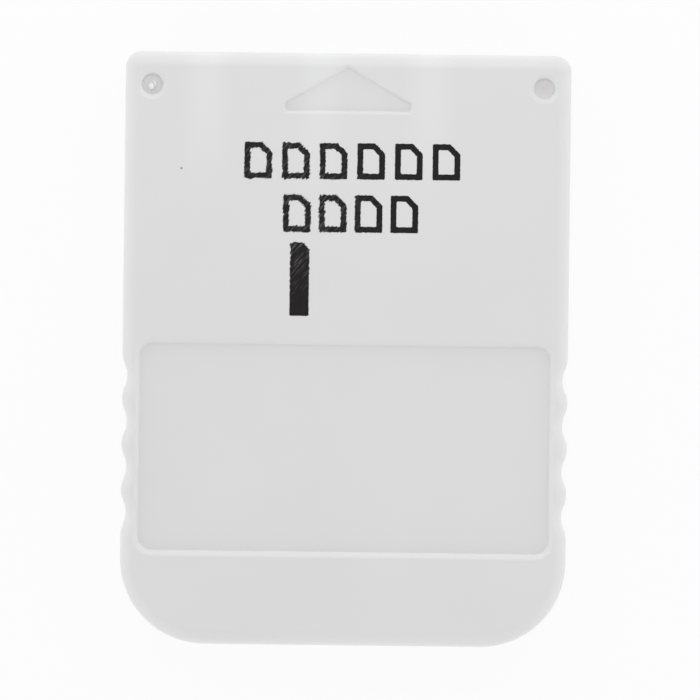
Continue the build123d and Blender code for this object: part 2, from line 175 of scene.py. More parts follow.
@dataclass(frozen=True)
class Finish:
    """A surface finish that becomes one node material."""

    name: str

    def material(self) -> bpy.types.Material:
        """Returns the finish's material, which is made the first time."""
        return bpy.data.materials.get(self.name) or self.make()

    def make(self) -> bpy.types.Material:
        """Makes the material.

        Returns:
            The new material, with its shader fed by the pattern that the finish paints.
        """
        material = bpy.data.materials.new(self.name)
        material.use_nodes = True
        tree = material.node_tree
        tree.nodes.clear()
        shader = add_node(tree, "ShaderNodeBsdfPrincipled")
        add_node(tree, "ShaderNodeOutputMaterial", {"Surface": shader.outputs["BSDF"]})
        place = add_node(tree, "ShaderNodeTexCoord").outputs["Object"]
        self.paint(tree, shader, place)
        return material

    def paint(self, tree: bpy.types.NodeTree, shader: bpy.types.Node, place: bpy.types.NodeSocket) -> None:
        """Feeds the shader.

        Args:
            tree: the material's node tree.
            shader: its Principled shader.
            place: the object's own coordinates, in metres.
        """
        raise NotImplementedError


@dataclass(frozen=True)
class MouldedAbs(Finish):
    """White ABS from a polished mould.

    The eye sees an even, milky satin skin that is a little glossier where it was handled, with faint
    lighter streaks near the connector end that are painted reflections, one dark fleck that was moulded in
    and painted shade on the floor of the right dimple.
    """

    name: str = "white_abs_injection_moulded"
    light: str = "e2e2e2"
    shade: str = "dddddd"
    # Painted reflection: the tint of the lighter streaks near the connector end
    reflection_tint: str = "e7e7e8"
    fleck_tint: str = "6f6c6a"
    ior: float = 1.53
    roughness: tuple[float, float] = (0.30, 0.38)
    cloud_mm: float = 15.0
    smudge_mm: float = 7.0
    # Painted reflection: where the lighter streaks lie, how wide they are and how they fade
    streak_x_mm: tuple[float, ...] = (-13.4, -2.7, 7.6)
    streak_half_mm: tuple[float, float] = (0.3, 2.8)  # of a streak's even middle and of all of it
    streak_reach_mm: tuple[float, float] = (14.0, 22.0)  # where the streaks fade in, along Y
    streak_strength: float = 0.6
    front_above_mm: float = 5.0  # the streaks are on the front only
    peel_mm: float = 1.1  # waves of the skin
    peel_depth_mm: float = 0.0022
    fleck_mm: tuple[float, float, float] = (-15.62, 16.86, 7.8)
    fleck_radius_mm: tuple[float, float] = (0.06, 0.12)  # of its dark middle and of all of it
    # Painted shade: a darker patch on the right dimple's floor, fading outwards
    dimple_shade_tint: str = "d9d5d7"
    dimple_shade_mm: tuple[float, float, float] = (18.45, 24.9, 7.05)  # just under the dimple's floor
    dimple_shade_reach_mm: tuple[float, float] = (0.35, 0.95)  # where it begins to fade and where it ends

    def paint(self, tree: bpy.types.NodeTree, shader: bpy.types.Node, place: bpy.types.NodeSocket) -> None:
        """Feeds the shader with clouds, painted reflections, the fleck, painted shade in the right dimple,
        smudges and the skin's waves.

        Args:
            tree: the material's node tree.
            shader: its Principled shader.
            place: the object's own coordinates, in metres.
        """
        cloud = add_node(
            tree,
            "ShaderNodeTexNoise",
            {"Vector": place, "Scale": per_mm(self.cloud_mm), "Detail": SOFT_DETAIL},
        )
        layers = (
            (cloud.outputs["Fac"], self.light),
            # Painted reflection: the lighter streaks
            (self.streaks(tree, place), self.reflection_tint),
            # Painted shade: the darker patch in the right dimple
            (fade_out(tree, place, self.dimple_shade_mm, self.dimple_shade_reach_mm), self.dimple_shade_tint),
            (fade_out(tree, place, self.fleck_mm, self.fleck_radius_mm), self.fleck_tint),
        )
        colour = linear(self.shade)
        for share, tint in layers:
            colour = add_node(
                tree,
                "ShaderNodeMix",
                {MIX_FACTOR: share, MIX_FIRST: colour, MIX_SECOND: linear(tint)},
                data_type="RGBA",
            ).outputs[MIX_COLOUR]
        tree.links.new(colour, shader.inputs["Base Color"])

        smudge = add_node(
            tree,
            "ShaderNodeTexNoise",
            {"Vector": place, "Scale": per_mm(self.smudge_mm), "Detail": GRAINY_DETAIL},
        )
        glossy, dull = self.roughness
        sheen = add_node(
            tree,
            "ShaderNodeMapRange",
            {"Value": smudge.outputs["Fac"], **NOISE_SPREAD, "To Min": glossy, "To Max": dull},
        )
        tree.links.new(sheen.outputs[0], shader.inputs["Roughness"])

        peel = add_node(
            tree,
            "ShaderNodeTexNoise",
            {"Vector": place, "Scale": per_mm(self.peel_mm), "Detail": SOFT_DETAIL},
        )
        waves = add_node(
            tree,
            "ShaderNodeBump",
            {"Height": peel.outputs["Fac"], "Distance": self.peel_depth_mm * MM, "Strength": 1.0},
        )
        tree.links.new(waves.outputs[0], shader.inputs["Normal"])
        shader.inputs["IOR"].default_value = self.ior

    def streaks(self, tree: bpy.types.NodeTree, place: bpy.types.NodeSocket) -> bpy.types.NodeSocket:
        """Lays painted reflections, faint lighter vertical streaks, on the front face near the connector
        end.

        Args:
            tree: the material's node tree.
            place: the object's own coordinates, in metres.

        Returns:
            A socket with the streaks' strength.
        """
        axes = add_node(tree, "ShaderNodeSeparateXYZ", {"Vector": place}).outputs
        fade_from, fade_to = (y * MM for y in self.streak_reach_mm)
        reach = add_node(
            tree,
            "ShaderNodeMapRange",
            {
                "Value": axes["Y"],
                "From Min": fade_from,
                "From Max": fade_to,
                "To Max": self.streak_strength,
            },
        )
        in_front = add_node(
            tree, "ShaderNodeMath", {0: axes["Z"], 1: self.front_above_mm * MM}, operation="GREATER_THAN"
        )
        even, outer = (half * MM for half in self.streak_half_mm)
        strongest = 0.0
        for x in self.streak_x_mm:
            offset = add_node(tree, "ShaderNodeMath", {0: axes["X"], 1: x * MM}, operation="SUBTRACT")
            gap = add_node(tree, "ShaderNodeMath", {0: offset.outputs[0]}, operation="ABSOLUTE")
            streak = add_node(
                tree,
                "ShaderNodeMapRange",
                {
                    "Value": gap.outputs[0],
                    "From Min": even,
                    "From Max": outer,
                    "To Min": 1.0,
                    "To Max": 0.0,
                },
                interpolation_type="SMOOTHSTEP",
            )
            strongest = add_node(
                tree, "ShaderNodeMath", {0: streak.outputs[0], 1: strongest}, operation="MAXIMUM"
            ).outputs[0]
        faded = add_node(tree, "ShaderNodeMath", {0: strongest, 1: reach.outputs[0]}, operation="MULTIPLY")
        return add_node(
            tree, "ShaderNodeMath", {0: faded.outputs[0], 1: in_front.outputs[0]}, operation="MULTIPLY"
        ).outputs[0]


@dataclass(frozen=True)
class GoldPlate(Finish):
    """Gold flash plated over nickel, rubbed by a connector's springs.

    The eye sees bright yellow metal with fine lengthwise scratches and slightly duller wiped lanes.
    """

    name: str = "gold_plate_wiped"
    bright: str = "e6c06a"
    wiped: str = "c99f4c"
    roughness: tuple[float, float] = (0.16, 0.34)
    scratch_mm: tuple[float, float] = (0.12, 9.0)  # width and length
    scratch_detail: float = 3.0
    scratch_depth_mm: float = 0.0008

    def paint(self, tree: bpy.types.NodeTree, shader: bpy.types.Node, place: bpy.types.NodeSocket) -> None:
        """Feeds the shader with lengthwise scratches.

        Args:
            tree: the material's node tree.
            shader: its Principled shader.
            place: the object's own coordinates, in metres.
        """
        width, length = (per_mm(size) for size in self.scratch_mm)
        drawn_out = add_node(
            tree, "ShaderNodeMapping", {"Vector": place, "Scale": (width, length, width)}
        )
        scratch = add_node(
            tree,
            "ShaderNodeTexNoise",
            {"Vector": drawn_out.outputs[0], "Scale": 1.0, "Detail": self.scratch_detail},
        )
        colour = add_node(
            tree,
            "ShaderNodeMix",
            {
                MIX_FACTOR: scratch.outputs["Fac"],
                MIX_FIRST: linear(self.bright),
                MIX_SECOND: linear(self.wiped),
            },
            data_type="RGBA",
        )
        polished, dull = self.roughness
        sheen = add_node(
            tree,
            "ShaderNodeMapRange",
            {"Value": scratch.outputs["Fac"], **NOISE_SPREAD, "To Min": polished, "To Max": dull},
        )
        grooves = add_node(
            tree,
            "ShaderNodeBump",
            {"Height": scratch.outputs["Fac"], "Distance": self.scratch_depth_mm * MM, "Strength": 1.0},
        )
        tree.links.new(colour.outputs[MIX_COLOUR], shader.inputs["Base Color"])
        tree.links.new(sheen.outputs[0], shader.inputs["Roughness"])
        tree.links.new(grooves.outputs[0], shader.inputs["Normal"])
        shader.inputs["Metallic"].default_value = 1.0


@dataclass(frozen=True)
class SolderResist(Finish):
    """Green solder resist, screened over copper tracks on glass-fibre laminate.

    The eye sees a glossy deep green, lighter over the tracks, and the bare straw-coloured laminate with
    its layers of glass cloth along the cut edges.
    """

    name: str = "green_solder_resist_on_laminate"
    resist: str = "14512f"
    over_copper: str = "2f8a55"
    laminate: str = "b7a873"
    cloth: str = "8f8456"
    ior: float = 1.5
    roughness: float = 0.28
    patch_mm: float = 6.5  # areas whose tracks run one way
    patch_disorder: float = 0.8
    crosswise_share: float = 0.5  # of the areas, with tracks that run along X
    track_pitch_mm: float = 0.9
    track_share: float = 0.36  # of the pitch
    ply_mm: tuple[float, float] = (2.0, 0.2)  # along the board and through it
    resist_step_mm: float = 0.02  # height of a track under the resist
    step_shown: float = 0.6  # share of that height that still shows
    face_above: float = 0.5  # upright share of the normal above which a face is no cut edge

    def paint(self, tree: bpy.types.NodeTree, shader: bpy.types.Node, place: bpy.types.NodeSocket) -> None:
        """Feeds the shader with tracks under the resist and with plies on the cut edges.

        Args:
            tree: the material's node tree.
            shader: its Principled shader.
            place: the object's own coordinates, in metres.
        """
        patch = add_node(
            tree,
            "ShaderNodeTexVoronoi",
            {"Vector": place, "Scale": per_mm(self.patch_mm), "Randomness": self.patch_disorder},
            distance="CHEBYCHEV",
            voronoi_dimensions="2D",
        )
        across = add_node(tree, "ShaderNodeSeparateColor", {"Color": patch.outputs["Color"]})
        turned = add_node(
            tree,
            "ShaderNodeMath",
            {0: across.outputs["Red"], 1: 1.0 - self.crosswise_share},
            operation="GREATER_THAN",
        )
        axes = add_node(tree, "ShaderNodeSeparateXYZ", {"Vector": place})
        lane = add_node(
            tree,
            "ShaderNodeMix",
            {
                MIX_FACTOR: turned.outputs[0],
                MIX_FIRST_NUMBER: axes.outputs["X"],
                MIX_SECOND_NUMBER: axes.outputs["Y"],
            },
            data_type="FLOAT",
        )
        counted = add_node(
            tree,
            "ShaderNodeMath",
            {0: lane.outputs[0], 1: per_mm(self.track_pitch_mm)},
            operation="MULTIPLY",
        )
        phase = add_node(tree, "ShaderNodeMath", {0: counted.outputs[0]}, operation="FRACT")
        track = add_node(
            tree, "ShaderNodeMath", {0: phase.outputs[0], 1: self.track_share}, operation="LESS_THAN"
        )
        face = add_node(
            tree,
            "ShaderNodeMix",
            {
                MIX_FACTOR: track.outputs[0],
                MIX_FIRST: linear(self.resist),
                MIX_SECOND: linear(self.over_copper),
            },
            data_type="RGBA",
        )
        along, through = (per_mm(size) for size in self.ply_mm)
        layered = add_node(
            tree, "ShaderNodeMapping", {"Vector": place, "Scale": (along, along, through)}
        )
        plies = add_node(tree, "ShaderNodeTexNoise", {"Vector": layered.outputs[0], "Scale": 1.0})
        edge = add_node(
            tree,
            "ShaderNodeMix",
            {
                MIX_FACTOR: plies.outputs["Fac"],
                MIX_FIRST: linear(self.laminate),
                MIX_SECOND: linear(self.cloth),
            },
            data_type="RGBA",
        )
        normal = add_node(tree, "ShaderNodeNewGeometry").outputs["Normal"]
        facing = add_node(tree, "ShaderNodeSeparateXYZ", {"Vector": normal})
        flatness = add_node(tree, "ShaderNodeMath", {0: facing.outputs["Z"]}, operation="ABSOLUTE")
        on_face = add_node(
            tree, "ShaderNodeMath", {0: flatness.outputs[0], 1: self.face_above}, operation="GREATER_THAN"
        )
        colour = add_node(
            tree,
            "ShaderNodeMix",
            {
                MIX_FACTOR: on_face.outputs[0],
                MIX_FIRST: edge.outputs[MIX_COLOUR],
                MIX_SECOND: face.outputs[MIX_COLOUR],
            },
            data_type="RGBA",
        )
        step = add_node(
            tree,
            "ShaderNodeBump",
            {
                "Height": track.outputs[0],
                "Distance": self.resist_step_mm * MM,
                "Strength": self.step_shown,
            },
        )
        tree.links.new(colour.outputs[MIX_COLOUR], shader.inputs["Base Color"])
        tree.links.new(step.outputs[0], shader.inputs["Normal"])
        shader.inputs["Roughness"].default_value = self.roughness
        shader.inputs["IOR"].default_value = self.ior


@dataclass(frozen=True)
class GrainedSolid(Finish):
    """A moulded, fired or dipped surface with a fine grain.

    The eye sees two close tones that cloud into each other, with a gloss that follows them and a grain
    that is drawn coarser than the real one, which is too fine to show.
    """

    light: str = "808080"
    shade: str = "707070"
    roughness: tuple[float, float] = (0.4, 0.6)
    grain_mm: float = 0.25
    grain_depth_mm: float = 0.006
    metallic: float = 0.0
    band_mm: tuple[float, float] = (0.0, 0.0)  # a stripe's lowest and highest X
    band: str = "000000"

    def paint(self, tree: bpy.types.NodeTree, shader: bpy.types.Node, place: bpy.types.NodeSocket) -> None:
        """Feeds the shader with the grain and, where it has a width, with the stripe.

        Args:
            tree: the material's node tree.
            shader: its Principled shader.
            place: the object's own coordinates, in metres.
        """
        grain = add_node(
            tree,
            "ShaderNodeTexNoise",
            {"Vector": place, "Scale": per_mm(self.grain_mm), "Detail": GRAINY_DETAIL},
        )
        colour = add_node(
            tree,
            "ShaderNodeMix",
            {
                MIX_FACTOR: grain.outputs["Fac"],
                MIX_FIRST: linear(self.shade),
                MIX_SECOND: linear(self.light),
            },
            data_type="RGBA",
        ).outputs[MIX_COLOUR]
        low, high = self.band_mm
        if high > low:
            axes = add_node(tree, "ShaderNodeSeparateXYZ", {"Vector": place})
            middle, half = (low + high) / 2 * MM, (high - low) / 2 * MM
            inside = add_node(
                tree, "ShaderNodeMath", {0: axes.outputs["X"], 1: middle, 2: half}, operation="COMPARE"
            )
            colour = add_node(
                tree,
                "ShaderNodeMix",
                {MIX_FACTOR: inside.outputs[0], MIX_FIRST: colour, MIX_SECOND: linear(self.band)},
                data_type="RGBA",
            ).outputs[MIX_COLOUR]
        smooth, rough = self.roughness
        sheen = add_node(
            tree,
            "ShaderNodeMapRange",
            {"Value": grain.outputs["Fac"], **NOISE_SPREAD, "To Min": smooth, "To Max": rough},
        )
        bumps = add_node(
            tree,
            "ShaderNodeBump",
            {"Height": grain.outputs["Fac"], "Distance": self.grain_depth_mm * MM, "Strength": 1.0},
        )
        tree.links.new(colour, shader.inputs["Base Color"])
        tree.links.new(sheen.outputs[0], shader.inputs["Roughness"])
        tree.links.new(bumps.outputs[0], shader.inputs["Normal"])
        shader.inputs["Metallic"].default_value = self.metallic


@dataclass(frozen=True)
class PrintedInk(Finish):
    """Black ink, printed in slanting passes.

    The eye sees a dull near-black that is streaked with grey along the passes round the spot where it is
    worn and is solid further off.
    """

    name: str = "black_ink_printed"
    ink: str = "201e1f"
    thin_ink: str = "6a686a"
    roughness: tuple[float, float] = (0.5, 0.7)
    gloss_level: float = 0.1
    hatch_mm: tuple[float, float] = (0.15, 1.3)  # width and length of a pass
    hatch_bounds: tuple[float, float] = (0.52, 0.68)  # of the noise, from full ink to thin ink
    slant_deg: float = 50.0
    worn_spot_mm: tuple[float, float, float] = (-6.0, 13.5, 7.8)
    worn_reach_mm: tuple[float, float] = (3.5, 9.5)  # where the wear begins to fade and where it ends
    worn_share: tuple[float, float] = (0.7, 0.06)  # of thin ink in a gap, at the spot and far from it

    def paint(self, tree: bpy.types.NodeTree, shader: bpy.types.Node, place: bpy.types.NodeSocket) -> None:
        """Feeds the shader with the slanting passes.

        Args:
            tree: the material's node tree.
            shader: its Principled shader.
            place: the object's own coordinates, in metres.
        """
        width, length = (per_mm(size) for size in self.hatch_mm)
        slanted = add_node(
            tree,
            "ShaderNodeMapping",
            {"Vector": place, "Rotation": (0.0, 0.0, -math.radians(self.slant_deg))},
        )
        drawn_out = add_node(
            tree,
            "ShaderNodeMapping",
            {"Vector": slanted.outputs[0], "Scale": (length, width, length)},
        )
        passes = add_node(
            tree, "ShaderNodeTexNoise", {"Vector": drawn_out.outputs[0], "Scale": 1.0, "Detail": SOFT_DETAIL}
        )
        full, faint = self.hatch_bounds
        gap = add_node(
            tree, "ShaderNodeMapRange", {"Value": passes.outputs["Fac"], "From Min": full, "From Max": faint}
        )
        wear = fade_out(tree, place, self.worn_spot_mm, self.worn_reach_mm, self.worn_share)
        share = add_node(tree, "ShaderNodeMath", {0: gap.outputs[0], 1: wear}, operation="MULTIPLY")
        colour = add_node(
            tree,
            "ShaderNodeMix",
            {MIX_FACTOR: share.outputs[0], MIX_FIRST: linear(self.ink), MIX_SECOND: linear(self.thin_ink)},
            data_type="RGBA",
        )
        thick, thin = self.roughness
        sheen = add_node(
            tree, "ShaderNodeMapRange", {"Value": share.outputs[0], "To Min": thick, "To Max": thin}
        )
        tree.links.new(colour.outputs[MIX_COLOUR], shader.inputs["Base Color"])
        tree.links.new(sheen.outputs[0], shader.inputs["Roughness"])
        shader.inputs["Specular IOR Level"].default_value = self.gloss_level


@dataclass(frozen=True)
class StudioPaper(Finish):
    """White seamless paper: pure white to the eye, in glints and through glass, with a light shadow.

    From behind the eye sees through it, and so does the light on the back of what lies on it.
    """

    name: str = "white_paper_seamless"
    colour: str = "f7f7f7"
    white_share: float = 0.88
    clear_within_mm: float = 0.2  # of what lies on the paper

    def make(self) -> bpy.types.Material:
        """Makes the material.

        Returns:
            The new material, a matte paper that shows mostly white to direct, glossy and clear rays.
        """
        material = bpy.data.materials.new(self.name)
        material.use_nodes = True
        tree = material.node_tree
        tree.nodes.clear()
        seen = add_node(
            tree,
            "ShaderNodeMath",
            {0: seen_directly(tree), 1: self.white_share},
            operation="MULTIPLY",
        )
        paper = add_node(tree, "ShaderNodeBsdfDiffuse", {"Color": linear(self.colour)})
        white = add_node(tree, "ShaderNodeEmission", {"Color": WHITE, "Strength": 1.0})
        mixed = add_node(
            tree, "ShaderNodeMixShader", {0: seen.outputs[0], 1: paper.outputs[0], 2: white.outputs[0]}
        )
        behind = add_node(tree, "ShaderNodeNewGeometry").outputs["Backfacing"]
        reach = add_node(tree, "ShaderNodeLightPath").outputs["Ray Length"]
        near = add_node(
            tree, "ShaderNodeMath", {0: reach, 1: self.clear_within_mm * MM}, operation="LESS_THAN"
        )
        either = add_node(tree, "ShaderNodeMath", {0: behind, 1: near.outputs[0]}, operation="MAXIMUM")
        clear = add_node(tree, "ShaderNodeBsdfTransparent")
        sheet = add_node(
            tree, "ShaderNodeMixShader", {0: either.outputs[0], 1: mixed.outputs[0], 2: clear.outputs[0]}
        )
        add_node(tree, "ShaderNodeOutputMaterial", {"Surface": sheet.outputs[0]})
        return material


def seen_directly(tree: bpy.types.NodeTree) -> bpy.types.NodeSocket:
    """Tells the camera's own rays, glints and clear rays from the rays that light the object.

    Args:
        tree: the tree that gets the nodes.

    Returns:
        A socket that is 1 for the first kind and 0 for the others.
    """
    rays = add_node(tree, "ShaderNodeLightPath").outputs
    seen = rays["Is Camera Ray"]
    for kind in ("Is Glossy Ray", "Is Transmission Ray"):
        seen = add_node(tree, "ShaderNodeMath", {0: seen, 1: rays[kind]}, operation="MAXIMUM").outputs[0]
    return seen


@dataclass(frozen=True)
class Studio:
    """A white tent over white paper, with one soft lamp beyond the connector end and a camera overhead.

    Sizes and places are in metres where their names don't say otherwise.
    """

    photo_side_px: float = 700.0
    photo_px_per_mm: float = 10.607
    card_centre_px: tuple[float, float] = (345.3, 349.4)  # from the photograph's left and top
    card_turn_deg: float = 0.71  # clockwise in the photograph
    outline_height_mm: float = 6.4  # of the card's widest section, whose width set the scale
    lens_mm: float = 300.0
    sensor_mm: float = 36.0
    horizon: float = 2.45
    zenith: float = 0.65
    band_power: float = 3.0  # how closely the light keeps to the horizon
    lamp_watts: float = 0.105
    lamp_size: tuple[float, float] = (0.30, 0.12)
    lamp_place: tuple[float, float, float] = (0.0, 0.155, 0.195)
    floor_half: float = 1.5
    floor_drop: float = 0.00002  # keeps the paper's plane off the card's back

    def build(self) -> None:
        """Builds the floor, the light and the camera."""
        self.lay_floor()
        self.raise_tent()
        self.hang_lamp()
        self.set_camera()
        bpy.context.scene.view_settings.view_transform = "Standard"

    def lay_floor(self) -> None:
        """Lays the paper that the card lies on."""
        half, low = self.floor_half, -self.floor_drop
        mesh = bpy.data.meshes.new("studio_floor")
        corners = [(-half, -half, low), (half, -half, low), (half, half, low), (-half, half, low)]
        mesh.from_pydata(corners, [], [(0, 1, 2, 3)])
        floor = bpy.data.objects.new("studio_floor", mesh)
        bpy.context.scene.collection.objects.link(floor)
        mesh.materials.append(StudioPaper().material())

    def raise_tent(self) -> None:
        """Lights the scene from all round, more from the sides than from above and below."""
        world = bpy.data.worlds.new("white_tent")
        world.use_nodes = True
        tree = world.node_tree
        tree.nodes.clear()
        direction = add_node(tree, "ShaderNodeTexCoord").outputs["Generated"]
        axes = add_node(tree, "ShaderNodeSeparateXYZ", {"Vector": direction})
        height = add_node(tree, "ShaderNodeMath", {0: axes.outputs["Z"]}, operation="ABSOLUTE")
        depth = add_node(
            tree, "ShaderNodeMath", {0: 1.0, 1: height.outputs[0]}, operation="SUBTRACT", use_clamp=True
        )
        band = add_node(
            tree, "ShaderNodeMath", {0: depth.outputs[0], 1: self.band_power}, operation="POWER"
        )
        cloth = add_node(
            tree,
            "ShaderNodeMapRange",
            {"Value": band.outputs[0], "To Min": self.zenith, "To Max": self.horizon},
        )
        strength = add_node(
            tree,
            "ShaderNodeMix",
            {MIX_FACTOR: seen_directly(tree), MIX_FIRST_NUMBER: cloth.outputs[0], MIX_SECOND_NUMBER: 1.0},
            data_type="FLOAT",
        )
        glow = add_node(tree, "ShaderNodeBackground", {"Color": WHITE, "Strength": strength.outputs[0]})
        add_node(tree, "ShaderNodeOutputWorld", {"Surface": glow.outputs[0]})
        bpy.context.scene.world = world

    def hang_lamp(self) -> None:
        """Hangs the soft lamp and aims it at the card."""
        light = bpy.data.lights.new("soft_lamp", "AREA")
        light.shape = "RECTANGLE"
        light.size, light.size_y = self.lamp_size
        light.energy = self.lamp_watts
        lamp = bpy.data.objects.new("soft_lamp", light)
        lamp.location = self.lamp_place
        lamp.rotation_euler = Vector(self.lamp_place).to_track_quat("Z", "Y").to_euler()
        bpy.context.scene.collection.objects.link(lamp)

    def set_camera(self) -> None:
        """Puts the camera where the photograph was taken from, straight above the card."""
        frame_width = self.photo_side_px / self.photo_px_per_mm * MM
        turn = math.radians(self.card_turn_deg)
        right = Vector((math.cos(turn), math.sin(turn), 0.0))
        up = Vector((-math.sin(turn), math.cos(turn), 0.0))
        middle_px = self.photo_side_px / 2
        shift_x = (middle_px - self.card_centre_px[0]) / self.photo_px_per_mm * MM
        shift_y = (self.card_centre_px[1] - middle_px) / self.photo_px_per_mm * MM
        data = bpy.data.cameras.new("overhead_camera")
        data.lens = self.lens_mm
        data.sensor_width = self.sensor_mm
        camera = bpy.data.objects.new("overhead_camera", data)
        height = self.outline_height_mm * MM + frame_width * self.lens_mm / self.sensor_mm
        camera.location = right * shift_x + up * shift_y + Vector((0.0, 0.0, height))
        camera.rotation_euler = (0.0, 0.0, turn)
        bpy.context.scene.collection.objects.link(camera)
        bpy.context.scene.camera = camera


def dress(node_name: str, finish: Finish) -> None:
    """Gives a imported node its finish.

    Args:
        node_name: the node's name.
        finish: the finish that takes the place of its plain one.
    """
    for slot in frame["nodes"][node_name].material_slots:
        slot.material = finish.material()
    LOG.info("%s: %s", node_name, finish.name)


def settle(piece: bpy.types.Object) -> None:
    """Makes a new piece part of the card.

    Args:
        piece: the finished piece, with its place in its mesh.
    """
    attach(piece, BODY)
    LOG.info("%s: %d faces", piece.name, len(piece.data.polygons))


@dataclass
class Housing:
    """The two covers and the scar where the moulding gate was torn off."""

    stub_inset_mm: tuple[float, float] = (2.55, 3.15)  # from the card's left side and connector end
    stub_drop_mm: float = 0.2  # from the front face to the stub's top
    nub_shift_mm: tuple[float, float, float] = (-0.11, -0.2, -0.12)
    nub_radii_mm: tuple[float, float, float] = (0.3, 0.33, 0.25)
    nub_tilt: float = 0.2  # rise along X
    nub_roughness_mm: float = 0.06
    nub_ripples: float = 2.3  # across one radius
    nub_subdivisions: int = 4
    lip_radius_mm: float = 0.33
    lip_shift_mm: tuple[float, float, float] = (-0.04, -0.02, 0.07)
    lip_arc_deg: tuple[float, float] = (-40.0, 95.0)
    lip_thickness_mm: float = 0.075
    lip_end_share: float = 0.15  # of its thickness that is left at both ends
    lip_steps: int = 28
    lip_sides: int = 10

    def build(self) -> None:
        """Dresses both covers and adds the gate scar."""
        for node_name in ("front_cover", "back_cover"):
            dress(node_name, MouldedAbs())
        self.tear_gate()

    def stub_top(self) -> Vector:
        """Finds the top of the stub that the scar stands on.

        Returns:
            Its middle, in millimetres.
        """
        side, nose = self.stub_inset_mm
        low, high = (corner / MM for corner in CAD_BOX)
        return Vector((low.x + side, high.y - nose, high.z - self.stub_drop_mm))

    def tear_gate(self) -> None:
        """Builds the torn stub: a ragged nub and the curled lip beside it."""
        mesh = bmesh.new()
        self.add_nub(mesh)
        self.add_lip(mesh)
        data = bpy.data.meshes.new("gate_scar")
        mesh.to_mesh(data)
        mesh.free()
        data.shade_smooth()
        # Torn plastic: whitened by the stress and made paler still as a painted highlight; rough, with small
        # glints
        torn = GrainedSolid(
            "white_abs_torn_and_highlight", "f5f5f5", "e8e8e9", roughness=(0.2, 0.4), grain_mm=0.12, grain_depth_mm=0.008
        )
        data.materials.append(torn.material())
        scar = bpy.data.objects.new("gate_scar", data)
        bpy.context.scene.collection.objects.link(scar)
        settle(scar)

    def add_nub(self, mesh: bmesh.types.BMesh) -> None:
        """Adds the ragged nub.

        Args:
            mesh: the mesh that gets it.
        """
        made = bmesh.ops.create_icosphere(mesh, subdivisions=self.nub_subdivisions, radius=1.0)
        middle = self.stub_top() + Vector(self.nub_shift_mm)
        ripple = self.nub_roughness_mm / min(self.nub_radii_mm)
        for vertex in made["verts"]:
            outwards = vertex.co.copy()
            bulge = 1.0 + noise.noise(outwards * self.nub_ripples) * ripple
            shaped = Vector(c * r for c, r in zip(outwards, self.nub_radii_mm))
            shaped.z += shaped.x * self.nub_tilt
            vertex.co = (middle + shaped * bulge) * MM

    def add_lip(self, mesh: bmesh.types.BMesh) -> None:
        """Adds the curled lip, a bead that tapers towards both ends.

        Args:
            mesh: the mesh that gets it.
        """
        start, end = (math.radians(a) for a in self.lip_arc_deg)
        centre = self.stub_top() + Vector(self.lip_shift_mm)
        rings = []
        for i in range(self.lip_steps + 1):
            share = i / self.lip_steps
            angle = start + (end - start) * share
            radial = Vector((math.cos(angle), math.sin(angle), 0.0))
            middle = centre + radial * self.lip_radius_mm
            fullness = self.lip_end_share + (1.0 - self.lip_end_share) * math.sin(math.pi * share)
            bead = self.lip_thickness_mm * fullness
            ring = []
            for k in range(self.lip_sides):
                turn = 2 * math.pi * k / self.lip_sides
                around = radial * math.cos(turn) + Vector((0.0, 0.0, math.sin(turn)))
                ring.append(mesh.verts.new((middle + around * bead) * MM))
            rings.append(ring)
        faces = [
            (first[k], first[(k + 1) % self.lip_sides], second[(k + 1) % self.lip_sides], second[k])
            for first, second in zip(rings, rings[1:])
            for k in range(self.lip_sides)
        ]
        made = [mesh.faces.new(corners) for corners in faces]
        made += [mesh.faces.new(rings[0]), mesh.faces.new(rings[-1])]
        bmesh.ops.recalc_face_normals(mesh, faces=made)


class Motif(Enum):
    """The printed marks."""

    CELL = "cell"
    BAR = "bar"


@dataclass(frozen=True)
class PrintedRow:
    """A row of like marks inside a box on the front face, in millimetres."""

    name: str
    motif: Motif
    low: tuple[float, float]
    high: tuple[float, float]
    count: int
    width: float
    clip: float  # length of each side of the corner that is cut off
    stroke: float = 0.55

    def pitch(self) -> float:
        """Returns the distance from one mark to the next."""
        return (self.high[0] - self.low[0] - self.width) / max(self.count - 1, 1)

    def loop(self, inset: float) -> list[tuple[float, float]]:
        """Lays out the first mark's outline.

        Args:
            inset: how far the outline moves inwards.

        Returns:
            Its five corners, anticlockwise from the lower left.
        """
        left, bottom = self.low[0] + inset, self.low[1] + inset
        right, top = self.low[0] + self.width - inset, self.high[1] - inset
        cut = self.clip - inset * (2.0 - math.sqrt(2.0))
        return [(left, bottom), (right, bottom), (right, top - cut), (right - cut, top), (left, top)]

    def loops(self) -> list[list[tuple[float, float]]]:
        """Returns the outlines between which the first mark's ink lies."""
        return [self.loop(0.0)] if self.motif is Motif.BAR else [self.loop(0.0), self.loop(self.stroke)]


